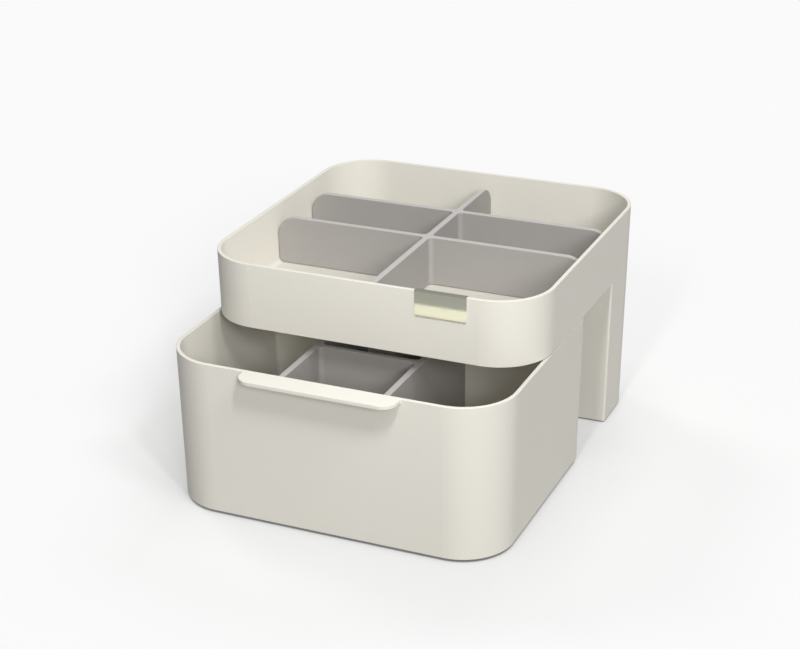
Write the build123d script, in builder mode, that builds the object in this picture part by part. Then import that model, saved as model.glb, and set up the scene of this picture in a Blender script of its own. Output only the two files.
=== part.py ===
from build123d import *
import os
from math import radians, tan

# Cosmetics organizer: a tray that ends in a full-height well at the back, and a drawer that
# slides on the table under the tray. Millimetres, +X right, +Y to the back, +Z up.
# The origin lies on the table, under the middle of the whole organizer at rest.
# At rest the drawer stands out by pull_out.

# Outside of the body
width = 220.0               # across the rim
depth = 217.4               # front to back, at the rim
height = 143.2              # table to rim
corner_radius = 35.0        # upright corners, at the rim
draft = 1.1                 # degrees that every outside wall leans in towards the table
wall = 2.4                  # thickness of the body's walls
tray_base = 101.0           # table to the underside of the tray
tray_floor = 2.4            # thickness of the tray's floor
well_depth = 63.4           # front to back, outside, at the rim
well_floor = 2.4            # thickness of the well's floor
well_lift = 1.0             # table to the underside of the well

# Drawer
drawer_wall = 2.4
drawer_floor = 2.4
drawer_lift = 1.8           # table to the underside of the drawer
drawer_headroom = 0.65      # drawer's rim to the underside of the tray
drawer_back_gap = 0.8       # drawer's back to the well's front when the drawer is shut
pull_out = 57.7             # how far the drawer stands out at rest

# Handle lip, moulded on the drawer's front rim
lip_length = 100.4          # left to right
lip_reach = 13.0            # how far it stands out from the drawer's front
lip_thickness = 2.4
lip_corner = 9.5            # rounding of its two outer corners, seen from above
lip_root = 1.0              # hollow rounding where its ends meet the drawer

# Dividers
divider_wall = 4.2
divider_end_radius = 13.0   # rounding of the top corner at a free end
divider_foot_radius = 4.5   # rounding of the bottom corner at a free end
divider_crossing = 3.0      # hollow rounding where two divider walls meet
divider_side_gap = 0.45     # free end to the wall that it stands beside
divider_foot_gap = 0.3      # underside to the floor that it stands on
tray_divider_drop = 7.3     # body's rim to the top of the tray's divider
rear_cross_setback = 2.2    # well's front to the middle of the rear cross wall
cross_wall_pitch = 51.3     # between the middles of the tray's two cross walls
drawer_divider_drop = 13.5  # drawer's rim to the top of the drawer's divider
drawer_divider_pitch = 68.8   # between the middles of its two lengthwise walls
drawer_divider_shift = -5.3   # middle of the pair, from the middle of the drawer
drawer_cross_shift = 2.8    # middle of its cross wall, from the middle of the drawer's inside

# Badge, a strip folded over the tray's front rim
badge_width = 33.0
badge_height = 16.2         # rim to the lower edge outside the tray
badge_inner_leaf = 5.0      # rim to the lower edge inside the tray
badge_thickness = 0.5
badge_glue = 0.05           # between the strip and the wall
badge_corner = 1.5          # rounding of its two lower corners
badge_from_corner = 6.9     # badge to the start of the tray's rounded corner

# Pads that the mouldings stand on
pad_diameter = 12.0
pad_seat = 1.0              # depth of the seat that a pad is let into
pad_fit = 0.1               # clearance round a pad in its seat
pad_edge = 0.4              # rounding of the edge that meets the table
pad_from_side = 22.0        # middle of a pad to the side of the rim
pad_from_round_end = 18.0   # middle of a pad to the rim at the moulding's rounded end
pad_from_flat_end = 12.0    # middle of a pad to the moulding's flat end

# Roundings of the mouldings
rim_rounding = 0.3
edge_rounding = 0.3
upright_rounding = 1.2
floor_rounding = 3.0
well_floor_rounding = 5.0
inner_corner_rounding = 3.0
sill_rounding = 1.0
divider_rounding = 0.6

# Heights and places that follow from the sizes above
cavity_overshoot = 1.0      # a cavity is cut this far past its mouth
near = 0.01                 # how close an edge lies to the place where it is looked for
drawer_rim = tray_base - drawer_headroom
tray_floor_top = tray_base + tray_floor
well_floor_top = well_lift + well_floor
drawer_floor_top = drawer_lift + drawer_floor


def draw_in(z):
    """How far a drafted outside wall stands inside the rim's outline at height z."""
    return (height - z) * tan(radians(draft))


front_reach = depth / 2 - draw_in(drawer_rim) + pull_out + lip_reach
back_reach = depth / 2
body_y = (front_reach - back_reach) / 2
drawer_y = body_y - pull_out
well_front = body_y + depth / 2 - well_depth
drawer_back = well_front - drawer_back_gap - pull_out
lip_front = body_y - front_reach
drawer_front = lip_front + lip_reach

os.makedirs("parts", exist_ok=True)


def drafted_block(low, high, inset, middle_y):
    """Solid between two heights inside the drafted outline, moved inwards by inset.

    It is drawn mouth down, so that its walls lean in as it rises, and then turned over.
    """
    step = draw_in(high) + inset
    with BuildPart() as block:
        with BuildSketch(Plane.XY.offset(-high)):
            with Locations((0, -middle_y)):
                RectangleRounded(width - 2 * step, depth - 2 * step, corner_radius - step)
        extrude(amount=high - low, taper=draft)
    return block.part.rotate(Axis.X, 180)


def facing_back(y):
    """Upright plane across the organizer at y."""
    return Plane(origin=(0, y, 0), x_dir=(1, 0, 0), z_dir=(0, 1, 0))


def level_edges(part, z):
    """Edges that lie level at height z."""
    return part.edges().filter_by_position(Axis.Z, z - near, z + near).filter_by(
        lambda edge: edge.bounding_box().size.Z < near
    )


def leaning_uprights(part, y):
    """Upright edges at y, which the draft leans over a little."""
    uprights = part.edges().filter_by(Axis.Z, tolerance=2 * draft)
    return uprights.filter_by_position(Axis.Y, y - near, y + near)


def pad_places(round_end, flat_end):
    """Middles of the four pads of a moulding with one rounded and one flat end, by name."""
    x = width / 2 - pad_from_side
    inward = 1 if flat_end > round_end else -1
    round_y = round_end + inward * pad_from_round_end
    flat_y = flat_end - inward * pad_from_flat_end
    front_y = min(round_y, flat_y)
    rear_y = max(round_y, flat_y)
    return {
        "front_left": (-x, front_y),
        "front_right": (x, front_y),
        "rear_left": (-x, rear_y),
        "rear_right": (x, rear_y),
    }


well_pads = pad_places(body_y + depth / 2, well_front)
drawer_pads = pad_places(drawer_y - depth / 2, drawer_back)

# Body: the tray and the well in one moulding

with BuildPart() as tray_cavity:
    add(drafted_block(tray_floor_top, height + cavity_overshoot, wall, body_y))
    fillet(tray_cavity.faces().sort_by(Axis.Z)[0].edges(), floor_rounding)

with BuildPart() as well_cavity:
    add(drafted_block(well_floor_top, height + cavity_overshoot, wall, body_y))
    split(bisect_by=facing_back(well_front + wall), keep=Keep.TOP)
    fillet(leaning_uprights(well_cavity, well_front + wall), inner_corner_rounding)
    fillet(well_cavity.faces().sort_by(Axis.Z)[0].edges(), well_floor_rounding)

with BuildPart() as organizer_body:
    add(drafted_block(well_lift, height, 0, body_y))
    with BuildSketch():
        with Locations((0, well_front)):
            Rectangle(width, depth, align=(Align.CENTER, Align.MAX))
    extrude(amount=tray_base, mode=Mode.SUBTRACT)
    fillet(leaning_uprights(organizer_body, well_front), upright_rounding)
    tray_edges = level_edges(organizer_body, tray_base)
    fillet(tray_edges.filter_by(lambda edge: edge.center().Y < well_front - edge_rounding), edge_rounding)
    fillet(level_edges(organizer_body, well_lift), edge_rounding)
    add(tray_cavity.part, mode=Mode.SUBTRACT)
    add(well_cavity.part, mode=Mode.SUBTRACT)
    fillet(level_edges(organizer_body, height), rim_rounding)
    sill_y = well_front + wall
    sill = level_edges(organizer_body, tray_floor_top)
    fillet(sill.filter_by_position(Axis.Y, sill_y - near, sill_y + near), sill_rounding)
    with BuildSketch(Plane.XY.offset(well_lift)):
        with Locations(*well_pads.values()):
            Circle(pad_diameter / 2 + pad_fit)
    extrude(amount=pad_seat, mode=Mode.SUBTRACT)

organizer_body.part.label = "organizer_body"
export_step(organizer_body.part, "parts/organizer_body.step")

# Drawer, with its handle lip in one moulding

with BuildPart() as drawer_cavity:
    add(drafted_block(drawer_floor_top, drawer_rim + cavity_overshoot, drawer_wall, drawer_y))
    split(bisect_by=facing_back(drawer_back - drawer_wall), keep=Keep.BOTTOM)
    fillet(leaning_uprights(drawer_cavity, drawer_back - drawer_wall), inner_corner_rounding)
    fillet(drawer_cavity.faces().sort_by(Axis.Z)[0].edges(), floor_rounding)

with BuildPart() as drawer:
    add(drafted_block(drawer_lift, drawer_rim, 0, drawer_y))
    split(bisect_by=facing_back(drawer_back), keep=Keep.BOTTOM)
    fillet(leaning_uprights(drawer, drawer_back), upright_rounding)
    fillet(level_edges(drawer, drawer_lift), edge_rounding)
    with BuildSketch(Plane.XY.offset(drawer_rim - lip_thickness)) as lip:
        with Locations((0, lip_front)):
            Rectangle(lip_length, lip_reach + drawer_wall / 2, align=(Align.CENTER, Align.MIN))
        fillet(lip.vertices().group_by(Axis.Y)[0], lip_corner)
    extrude(amount=lip_thickness)
    under_lip = level_edges(drawer, drawer_rim - lip_thickness)
    fillet(under_lip.filter_by(lambda edge: edge.center().Y < drawer_front - edge_rounding), edge_rounding)
    lip_ends = drawer.edges().filter_by(Axis.Z, tolerance=2 * draft).filter_by(
        lambda edge: edge.center().Y > lip_front + lip_corner
        and abs(abs(edge.center().X) - lip_length / 2) < near
    )
    fillet(lip_ends, lip_root)
    add(drawer_cavity.part, mode=Mode.SUBTRACT)
    fillet(level_edges(drawer, drawer_rim), rim_rounding)
    with BuildSketch(Plane.XY.offset(drawer_lift)):
        with Locations(*drawer_pads.values()):
            Circle(pad_diameter / 2 + pad_fit)
    extrude(amount=pad_seat, mode=Mode.SUBTRACT)

drawer.part.label = "drawer"
export_step(drawer.part, "parts/drawer.step")

# Dividers


def divider_face(plane, low, high, foot, top):
    """Face of an upright divider wall between low and high.

    foot and top are where it starts and ends along the plane, at low and at high.
    A low wall limits the rounding of its own corners.
    """
    end_radius = min(divider_end_radius, (high - low) / 2)
    foot_radius = min(divider_foot_radius, (high - low) / 4)
    with BuildSketch(plane) as face:
        with BuildLine():
            Polyline((foot[0], low), (foot[1], low), (top[1], high), (top[0], high), close=True)
        make_face()
        fillet(face.vertices().group_by(Axis.Y)[-1], end_radius)
        fillet(face.vertices().group_by(Axis.Y)[0], foot_radius)
    return face.sketch


def across(y):
    """Plane of a cross wall at y, drawn in X and Z."""
    return Plane(origin=(0, y, 0), x_dir=(1, 0, 0), z_dir=(0, -1, 0))


def lengthwise(x):
    """Plane of a lengthwise wall at x, drawn in Y and Z."""
    return Plane(origin=(x, 0, 0), x_dir=(0, 1, 0), z_dir=(1, 0, 0))


def inside_reach(size, z, thickness):
    """From the middle of a moulding to a divider's free end at height z."""
    return size / 2 - draw_in(z) - thickness - divider_side_gap


def round_divider(divider):
    """Hollow roundings where the walls of a divider meet, then all its edges."""
    long_uprights = divider.edges().filter_by(Axis.Z).group_by(SortBy.LENGTH)[-1]
    fillet(long_uprights, divider_crossing)
    fillet(divider.faces().filter_by(Axis.Z).edges(), divider_rounding)


tray_divider_foot = tray_floor_top + divider_foot_gap
tray_divider_top = height - tray_divider_drop
rear_cross_y = well_front + rear_cross_setback
front_cross_y = rear_cross_y - cross_wall_pitch
foot_x = inside_reach(width, tray_divider_foot, wall)
top_x = inside_reach(width, tray_divider_top, wall)
foot_y = inside_reach(depth, tray_divider_foot, wall)
top_y = inside_reach(depth, tray_divider_top, wall)

with BuildPart() as tray_divider:
    for y in (front_cross_y, rear_cross_y):
        extrude(
            divider_face(across(y), tray_divider_foot, tray_divider_top, (-foot_x, foot_x), (-top_x, top_x)),
            amount=divider_wall / 2,
            both=True,
        )
    extrude(
        divider_face(
            lengthwise(0),
            tray_divider_foot,
            tray_divider_top,
            (body_y - foot_y, body_y + foot_y),
            (body_y - top_y, body_y + top_y),
        ),
        amount=divider_wall / 2,
        both=True,
    )
    round_divider(tray_divider)

tray_divider.part.label = "tray_divider"
export_step(tray_divider.part, "parts/tray_divider.step")

drawer_divider_foot = drawer_floor_top + divider_foot_gap
drawer_divider_top = drawer_rim - drawer_divider_drop
front_foot_y = drawer_y - inside_reach(depth, drawer_divider_foot, drawer_wall)
front_top_y = drawer_y - inside_reach(depth, drawer_divider_top, drawer_wall)
back_end_y = drawer_back - drawer_wall - divider_side_gap
drawer_cross_y = (front_top_y + back_end_y) / 2 + drawer_cross_shift
left_wall_x = drawer_divider_shift - drawer_divider_pitch / 2
right_wall_x = drawer_divider_shift + drawer_divider_pitch / 2

with BuildPart() as drawer_divider:
    for x in (left_wall_x, right_wall_x):
        extrude(
            divider_face(
                lengthwise(x),
                drawer_divider_foot,
                drawer_divider_top,
                (front_foot_y, back_end_y),
                (front_top_y, back_end_y),
            ),
            amount=divider_wall / 2,
            both=True,
        )
    with BuildSketch(Plane.XY.offset(drawer_divider_foot)):
        with Locations((drawer_divider_shift, drawer_cross_y)):
            Rectangle(drawer_divider_pitch, divider_wall)
    extrude(amount=drawer_divider_top - drawer_divider_foot)
    round_divider(drawer_divider)

drawer_divider.part.label = "drawer_divider"
export_step(drawer_divider.part, "parts/drawer_divider.step")

# Badge plate

badge_middle = width / 2 - corner_radius - badge_from_corner - badge_width / 2


def tray_front(z):
    """Outside of the tray's front wall at height z."""
    return body_y - depth / 2 + draw_in(z)


outer_leaf_low = height - badge_height
inner_leaf_low = height - badge_inner_leaf
fold_top = height + badge_glue
badge_bend = rim_rounding + badge_glue     # inside radius of its two folds, round the rim's rounding

with BuildPart() as badge_plate:
    with BuildSketch(Plane.YZ.offset(badge_middle)):
        with BuildLine() as strip:
            Polyline(
                (tray_front(outer_leaf_low) - badge_glue, outer_leaf_low),
                (tray_front(height) - badge_glue, fold_top),
                (tray_front(height) + wall + badge_glue, fold_top),
                (tray_front(inner_leaf_low) + wall + badge_glue, inner_leaf_low),
            )
            fillet(strip.vertices().group_by(Axis.Y)[-1], badge_bend)
            offset(amount=badge_thickness, side=Side.LEFT)
        make_face()
    extrude(amount=badge_width / 2, both=True)
    low_face = badge_plate.faces().sort_by(Axis.Z)[0]
    fillet(low_face.edges().filter_by(lambda edge: edge.length < 2 * badge_thickness), badge_corner)

badge_plate.part.label = "badge_plate"
export_step(badge_plate.part, "parts/badge_plate.step")

# Pads under the well and under the drawer, each let into its seat

for moulding, places, lift in (("well", well_pads, well_lift), ("drawer", drawer_pads, drawer_lift)):
    for corner, place in places.items():
        pad_name = moulding + "_pad_" + corner
        with BuildPart() as pad:
            with BuildSketch():
                with Locations(place):
                    Circle(pad_diameter / 2)
            extrude(amount=lift + pad_seat)
            fillet(pad.faces().sort_by(Axis.Z)[0].edges(), pad_edge)
        pad.part.label = pad_name
        export_step(pad.part, "parts/" + pad_name + ".step")
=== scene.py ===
import bpy
from math import pi, radians, sin
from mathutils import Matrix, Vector

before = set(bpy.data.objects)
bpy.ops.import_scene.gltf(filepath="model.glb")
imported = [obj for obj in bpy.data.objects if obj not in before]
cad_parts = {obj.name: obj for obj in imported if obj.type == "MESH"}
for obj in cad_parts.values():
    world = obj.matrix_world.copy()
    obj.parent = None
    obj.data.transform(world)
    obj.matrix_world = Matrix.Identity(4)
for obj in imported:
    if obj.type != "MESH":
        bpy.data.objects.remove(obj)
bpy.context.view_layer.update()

# Camera, at the photograph's place
camera_place = (0.42506, -0.98881, 0.54819)
camera_turn = (66.7779, 0.5045, 23.3618)    # degrees about X, Y and Z
camera_lens = 82.631                        # millimetres on a sensor 36 mm wide

# Light: each box is a place and an aim in metres, a width and a height, and its power in watts
key_box = ((0.134, -0.315, 0.423), (-0.05, 0.12, 0.16), 0.035, 0.085, 0.74)
back_box = ((0.0, 0.549, 0.759), (0.0, -0.03, 0.07), 0.35, 0.35, 1.4)
# Each far light is a bearing round to the right of the front and a height in degrees, a width
# in degrees, and its strength
front_light = (35.0, 25.0, 16.0, 1.33)
side_light = (70.0, 50.0, 16.0, 0.64)
rear_light = (-120.0, 45.0, 16.0, 0.40)
sky_strength = 0.30

# The sweep under the part
backdrop_tone = 0.956                       # its brightness in the picture, away from shadows
sweep_paper = 0.60                          # share of the light that it shows
sweep_bounce = 0.40                         # share of the light that it throws back on the part
shade_reach = 0.055                         # how far from the part's foot its soft shade is seen
shade_depth = 0.20                          # how much darker it makes the paper at the foot
# painted shade: the slit under the part is darkened in the paper's colour by how little open sky it has
slit_openness = (0.26, 0.46)                # share of open sky in the slit under the part, and at its mouth
slit_tone = 0.42                            # share of the paper's brightness that is left in the slit

# Tints, as linear colours
cream = (0.80, 0.775, 0.70)
grey = (0.36, 0.345, 0.33)
# painted light: the lighter grey that the insert's upward faces are blended towards
top_light_grey = (0.53, 0.52, 0.505)
plate_gold = (0.92, 0.93, 0.77)
rubber = (0.028, 0.028, 0.027)
dusty_rubber = (0.07, 0.068, 0.062)

# Grain and marks of the surfaces, in metres
spark_grain = 0.00045                       # size of the fine grain that a spark-eroded mould leaves
spark_depth = 0.000012
wall_wave = 0.055                           # length of the slight waves in a moulded wall
wall_wave_depth = 0.00004
pigment_cloud = 0.09                        # patches where the cream is a little lighter or darker
shell_speck = 0.0035
rubbed_patch = 0.03                         # places that hands have rubbed smoother
scuff_spacing = 0.018                       # hairline scuffs, which run level
scuff_stretch = (1.0, 1.0, 22.0)
flow_streak = 0.05                          # streaks where the grey plastic flowed, which run level
flow_stretch = (1.0, 1.0, 6.0)
insert_speck = 0.0025
worn_patch = 0.02
brush_stretch = (12.0, 1500.0, 1500.0)      # fine lines along the badge, 83 mm long and 0.7 mm wide
brush_depth = 0.000002
smear = 0.006
pad_rind = 0.0009
pad_rind_depth = 0.00003
pad_dust = 0.004
gate_radius = 0.005                         # mark of a mould's inlet, under the well and under the drawer
gate_depth = 0.0003


def box_of(node):
    """Lowest and highest corner of a carried-over solid."""
    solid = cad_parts[node]
    corners = [solid.matrix_world @ Vector(corner) for corner in solid.bound_box]
    return [Vector(extreme(axis) for axis in zip(*corners)) for extreme in (min, max)]


def inlet_under(moulding, pad_kind):
    """Place on a moulding's underside, in the middle between its pads."""
    pads = [box_of(node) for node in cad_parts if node.startswith(pad_kind)]
    middle = sum((low + high for low, high in pads), Vector()) / (2 * len(pads))
    return (middle.x, middle.y, box_of(moulding)[0].z)


class Value:
    """A socket in a material's node tree that takes part in arithmetic."""

    def __init__(self, finish, socket):
        self.finish = finish
        self.socket = socket

    def maths(self, operation, *others):
        values = [self] + list(others)
        sockets = {place: value for place, value in enumerate(values)}
        return self.finish.node("ShaderNodeMath", sockets, operation=operation)

    def __add__(self, other):
        return self.maths("ADD", other)

    def __radd__(self, other):
        return self.maths("ADD", other)

    def __sub__(self, other):
        return self.maths("SUBTRACT", other)

    def __rsub__(self, other):
        return self.finish.node("ShaderNodeMath", {0: other, 1: self}, operation="SUBTRACT")

    def __mul__(self, other):
        return self.maths("MULTIPLY", other)

    def __rmul__(self, other):
        return self.maths("MULTIPLY", other)

    def __truediv__(self, other):
        return self.maths("DIVIDE", other)

    def __pow__(self, other):
        return self.maths("POWER", other)


class Finish:
    """A material under construction, with one method that makes any node."""

    def __init__(self, name):
        self.material = bpy.data.materials.new(name)
        self.material.use_nodes = True
        self.tree = self.material.node_tree
        self.tree.nodes.clear()

    def node(self, kind, sockets=None, output=0, **settings):
        """Makes a node, sets it up, fills its sockets and gives one of its outputs."""
        made = self.tree.nodes.new(kind)
        for setting, value in settings.items():
            setattr(made, setting, value)
        for place, value in (sockets or {}).items():
            socket = made.inputs[place]
            if isinstance(value, Value):
                self.tree.links.new(value.socket, socket)
            else:
                socket.default_value = value
        return Value(self, made.outputs[output])

    def place(self):
        """Place on the part, in metres in the part's own frame."""
        return self.node("ShaderNodeTexCoord", output="Object")

    def stretched(self, place, stretch):
        return self.node("ShaderNodeVectorMath", {0: place, 1: stretch}, operation="MULTIPLY")

    def dot(self, one, other):
        """How far one vector points along the other."""
        return self.node("ShaderNodeVectorMath", {0: one, 1: other}, output=1, operation="DOT_PRODUCT")

    def clouds(self, place, size, detail=2.0, roughness=0.5):
        """Soft noise between 0 and 1, with patches of about the size given."""
        return self.node("ShaderNodeTexNoise", {
            "Vector": place, "Scale": 1 / size, "Detail": detail, "Roughness": roughness})

    def ramp(self, value, low, high, to_low=0.0, to_high=1.0):
        """Smooth step of a value from low to high."""
        return self.node("ShaderNodeMapRange", {
            "Value": value, "From Min": low, "From Max": high, "To Min": to_low, "To Max": to_high,
        }, interpolation_type="SMOOTHSTEP")

    def gate(self, place, middle):
        """Mark where the plastic was let into the mould: a low nub in a shallow round dish."""
        far = self.node("ShaderNodeVectorMath", {0: place, 1: middle}, output=1, operation="DISTANCE")
        dish = self.ramp(far, gate_radius * 0.85, gate_radius)
        nub = self.ramp(far, gate_radius * 0.16, gate_radius * 0.24, 0.7, 0.0)
        return dish + nub

    def blend(self, share, one, other):
        """Colour between one and the other."""
        return self.node("ShaderNodeMix", {0: share, 6: one, 7: other}, output=2, data_type="RGBA")

    def grey(self, value):
        """Neutral colour of the brightness given."""
        return self.node("ShaderNodeCombineColor", {0: value, 1: value, 2: value})

    def relief(self, height, depth, strength=1.0, over=None):
        """Normal of a surface with the height given, where 1 stands depth metres up."""
        sockets = {"Height": height, "Distance": depth, "Strength": strength}
        if over:
            sockets["Normal"] = over
        return self.node("ShaderNodeBump", sockets)

    def plastic(self, **sockets):
        named = {name.replace("_", " "): value for name, value in sockets.items()}
        return self.surface(self.node("ShaderNodeBsdfPrincipled", named))

    def surface(self, shader):
        out = self.tree.nodes.new("ShaderNodeOutputMaterial")
        self.tree.links.new(shader.socket, out.inputs["Surface"])
        return self.material


def tint(colour, factor, warmth=0.0):
    """A colour made lighter or darker, and a little warmer."""
    red, green, blue = colour
    return (red * factor * (1 + warmth), green * factor, blue * factor * (1 - warmth), 1.0)


def cream_shell():
    """Satin moulded plastic: cloudy pigment, fine grain, faint waves, rubbed places and hairline scuffs."""
    finish = Finish("cream_shell")
    place = finish.place()
    pigment = finish.clouds(place, pigment_cloud, detail=3.0)
    specks = finish.clouds(place, shell_speck, detail=2.0)
    share = pigment * 0.7 + specks * 0.3
    colour = finish.blend(share, tint(cream, 0.975, 0.006), tint(cream, 1.025, -0.004))
    rubbed = finish.ramp(finish.clouds(place, rubbed_patch, detail=4.0, roughness=0.65), 0.56, 0.74)
    hairs = finish.clouds(finish.stretched(place, scuff_stretch), scuff_spacing, detail=3.0, roughness=0.7)
    scuffs = finish.ramp(hairs, 0.66, 0.70) * rubbed
    grain = finish.clouds(place, spark_grain, detail=2.0, roughness=0.6)
    roughness = 0.50 + specks * 0.05 - rubbed * 0.05 + scuffs * 0.08
    waves = finish.relief(finish.clouds(place, wall_wave, detail=1.0), wall_wave_depth)
    marked = waves
    for gate in (inlet_under("organizer_body", "well_pad_"), inlet_under("drawer", "drawer_pad_")):
        marked = finish.relief(finish.gate(place, gate), gate_depth, over=marked)
    normal = finish.relief(grain, spark_depth, 0.6, over=marked)
    return finish.plastic(Base_Color=colour, Roughness=roughness, Normal=normal, IOR=1.5)


def grey_insert():
    """Matte moulded plastic with faint flow streaks, and painted light that makes what faces up lighter."""
    finish = Finish("grey_insert")
    place = finish.place()
    streaks = finish.clouds(finish.stretched(place, flow_stretch), flow_streak, detail=3.0)
    specks = finish.clouds(place, insert_speck, detail=2.0)
    share = streaks * 0.6 + specks * 0.4
    colour = finish.blend(share, tint(grey, 0.965, 0.004), tint(grey, 1.035, -0.002))
    facing = finish.node("ShaderNodeTexCoord", output="Normal")
    upward = finish.dot(facing, (0.0, 0.0, 1.0))
    # Painted light: faces that point up are blended towards a lighter grey, speckled a little
    painted_top_light = finish.ramp(upward, 0.55, 0.95) * (0.75 + specks * 0.25)
    lightened = finish.blend(painted_top_light, colour, tint(top_light_grey, 1.0))
    worn = finish.ramp(finish.clouds(place, worn_patch, detail=4.0, roughness=0.65), 0.55, 0.75)
    grain = finish.clouds(place, spark_grain, detail=2.0, roughness=0.6)
    waves = finish.relief(finish.clouds(place, wall_wave, detail=1.0), wall_wave_depth)
    normal = finish.relief(grain, spark_depth, 0.7, over=waves)
    roughness = 0.54 + specks * 0.06 - worn * 0.05
    return finish.plastic(Base_Color=lightened, Roughness=roughness, Normal=normal, IOR=1.5)


def badge_metal():
    """Polished pale gold strip with fine lines along it and a few smears."""
    finish = Finish("badge_metal")
    place = finish.place()
    lines = finish.clouds(finish.stretched(place, brush_stretch), 1.0, detail=3.0)
    smears = finish.ramp(finish.clouds(place, smear, detail=3.0), 0.42, 0.72)
    colour = finish.blend(lines, tint(plate_gold, 0.97, 0.005), tint(plate_gold, 1.0, -0.005))
    roughness = 0.05 + smears * 0.03 + lines * 0.02
    normal = finish.relief(lines, brush_depth, 0.5)
    return finish.plastic(Base_Color=colour, Roughness=roughness, Normal=normal, Metallic=1.0)


def pad_rubber():
    """Dull rubber with a fine rind and a little dust."""
    finish = Finish("pad_rubber")
    place = finish.place()
    rind = finish.clouds(place, pad_rind, detail=3.0)
    lightened = finish.ramp(finish.clouds(place, pad_dust, detail=3.0), 0.5, 0.8)
    colour = finish.blend(lightened * 0.5, tint(rubber, 1.0), tint(dusty_rubber, 1.0))
    normal = finish.relief(rind, pad_rind_depth, 0.6)
    return finish.plastic(Base_Color=colour, Roughness=0.75 + rind * 0.15, Normal=normal)


def light_box(name, box):
    """Rectangular lamp that faces its aim."""
    place, aim, box_width, box_height, power = box
    lamp = bpy.data.lights.new(name, "AREA")
    lamp.shape = "RECTANGLE"
    lamp.size = box_width
    lamp.size_y = box_height
    lamp.energy = power
    box_object = bpy.data.objects.new(name, lamp)
    box_object.location = place
    box_object.rotation_euler = (Vector(place) - Vector(aim)).to_track_quat("Z", "Y").to_euler()
    box_object.visible_camera = False
    bpy.context.scene.collection.objects.link(box_object)


def far_light(name, light):
    """Lamp so far away that it shines the same way everywhere."""
    bearing, rise, spread, strength = light
    lamp = bpy.data.lights.new(name, "SUN")
    lamp.energy = strength
    lamp.angle = radians(spread)
    sun = bpy.data.objects.new(name, lamp)
    sun.rotation_euler = (radians(90 - rise), 0, radians(bearing))
    bpy.context.scene.collection.objects.link(sun)


def box_on_floor(finish, place, box):
    """Brightness that a box gives to a bare white floor."""
    lamp, aim, box_width, box_height, power = box
    way = (Vector(aim) - Vector(lamp)).normalized()
    ray = finish.node("ShaderNodeVectorMath", {0: place, 1: lamp}, operation="SUBTRACT")
    square = finish.dot(ray, ray)
    ahead = finish.dot(ray, way)
    return ahead / square ** 2 * (power * lamp[2] / pi ** 2)


def sweep_material():
    """Pale paper with an even tone, which shadows and a painted shade near the part's foot darken.

    Its own glow makes up for the uneven light, so that the bare paper is the same everywhere.
    """
    finish = Finish("sweep_paper")
    place = finish.place()
    light = sky_strength + box_on_floor(finish, place, key_box) + box_on_floor(finish, place, back_box)
    for bearing, rise, spread, strength in (front_light, side_light, rear_light):
        light = light + strength * sin(radians(rise)) / pi
    # Painted shade: the paper's colour and glow are darkened near the part's foot and in the slit under it
    open_sky = finish.node(
        "ShaderNodeAmbientOcclusion", {"Distance": shade_reach}, output="AO", samples=12)
    slit_shade = finish.ramp(open_sky, *slit_openness, to_low=slit_tone)
    tone = (1 - shade_depth * (1 - open_sky)) * slit_shade
    seen = finish.node("ShaderNodeBsdfPrincipled", {
        "Base Color": finish.grey(tone * sweep_paper),
        "Roughness": 1.0,
        "Specular IOR Level": 0.0,
        "Emission Color": finish.grey((backdrop_tone - light * sweep_paper) * tone),
        "Emission Strength": 1.0,
    })
    bounce = finish.node("ShaderNodeBsdfPrincipled", {
        "Base Color": (sweep_bounce, sweep_bounce, sweep_bounce, 1),
        "Roughness": 1.0,
        "Specular IOR Level": 0.0,
    })
    direct = finish.node("ShaderNodeLightPath", output="Is Camera Ray")
    return finish.surface(finish.node("ShaderNodeMixShader", {0: direct, 1: bounce, 2: seen}))


def dress(node, material):
    """Gives a carried-over solid its finish."""
    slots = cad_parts[node].data.materials
    slots.clear()
    slots.append(material)


shell_finish = cream_shell()
insert_finish = grey_insert()
rubber_finish = pad_rubber()
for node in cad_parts:
    if "pad_" in node:
        dress(node, rubber_finish)
for node in ("organizer_body", "drawer"):
    dress(node, shell_finish)
for node in ("tray_divider", "drawer_divider"):
    dress(node, insert_finish)
dress("badge_plate", badge_metal())

# Stage
bpy.ops.mesh.primitive_plane_add(size=12)
sweep = bpy.context.object
sweep.name = "sweep"
sweep.data.materials.append(sweep_material())
light_box("key", key_box)
light_box("back", back_box)
far_light("front", front_light)
far_light("side", side_light)
far_light("rear", rear_light)

world = bpy.data.worlds.new("studio")
world.use_nodes = True
world.node_tree.nodes["Background"].inputs["Color"].default_value = (1, 1, 1, 1)
world.node_tree.nodes["Background"].inputs["Strength"].default_value = sky_strength
bpy.context.scene.world = world

camera_data = bpy.data.cameras.new("camera")
camera_data.lens = camera_lens
camera_data.sensor_width = 36
camera = bpy.data.objects.new("camera", camera_data)
camera.location = camera_place
camera.rotation_euler = [radians(turn) for turn in camera_turn]
bpy.context.scene.collection.objects.link(camera)
bpy.context.scene.camera = camera
bpy.context.scene.view_settings.view_transform = "Standard"
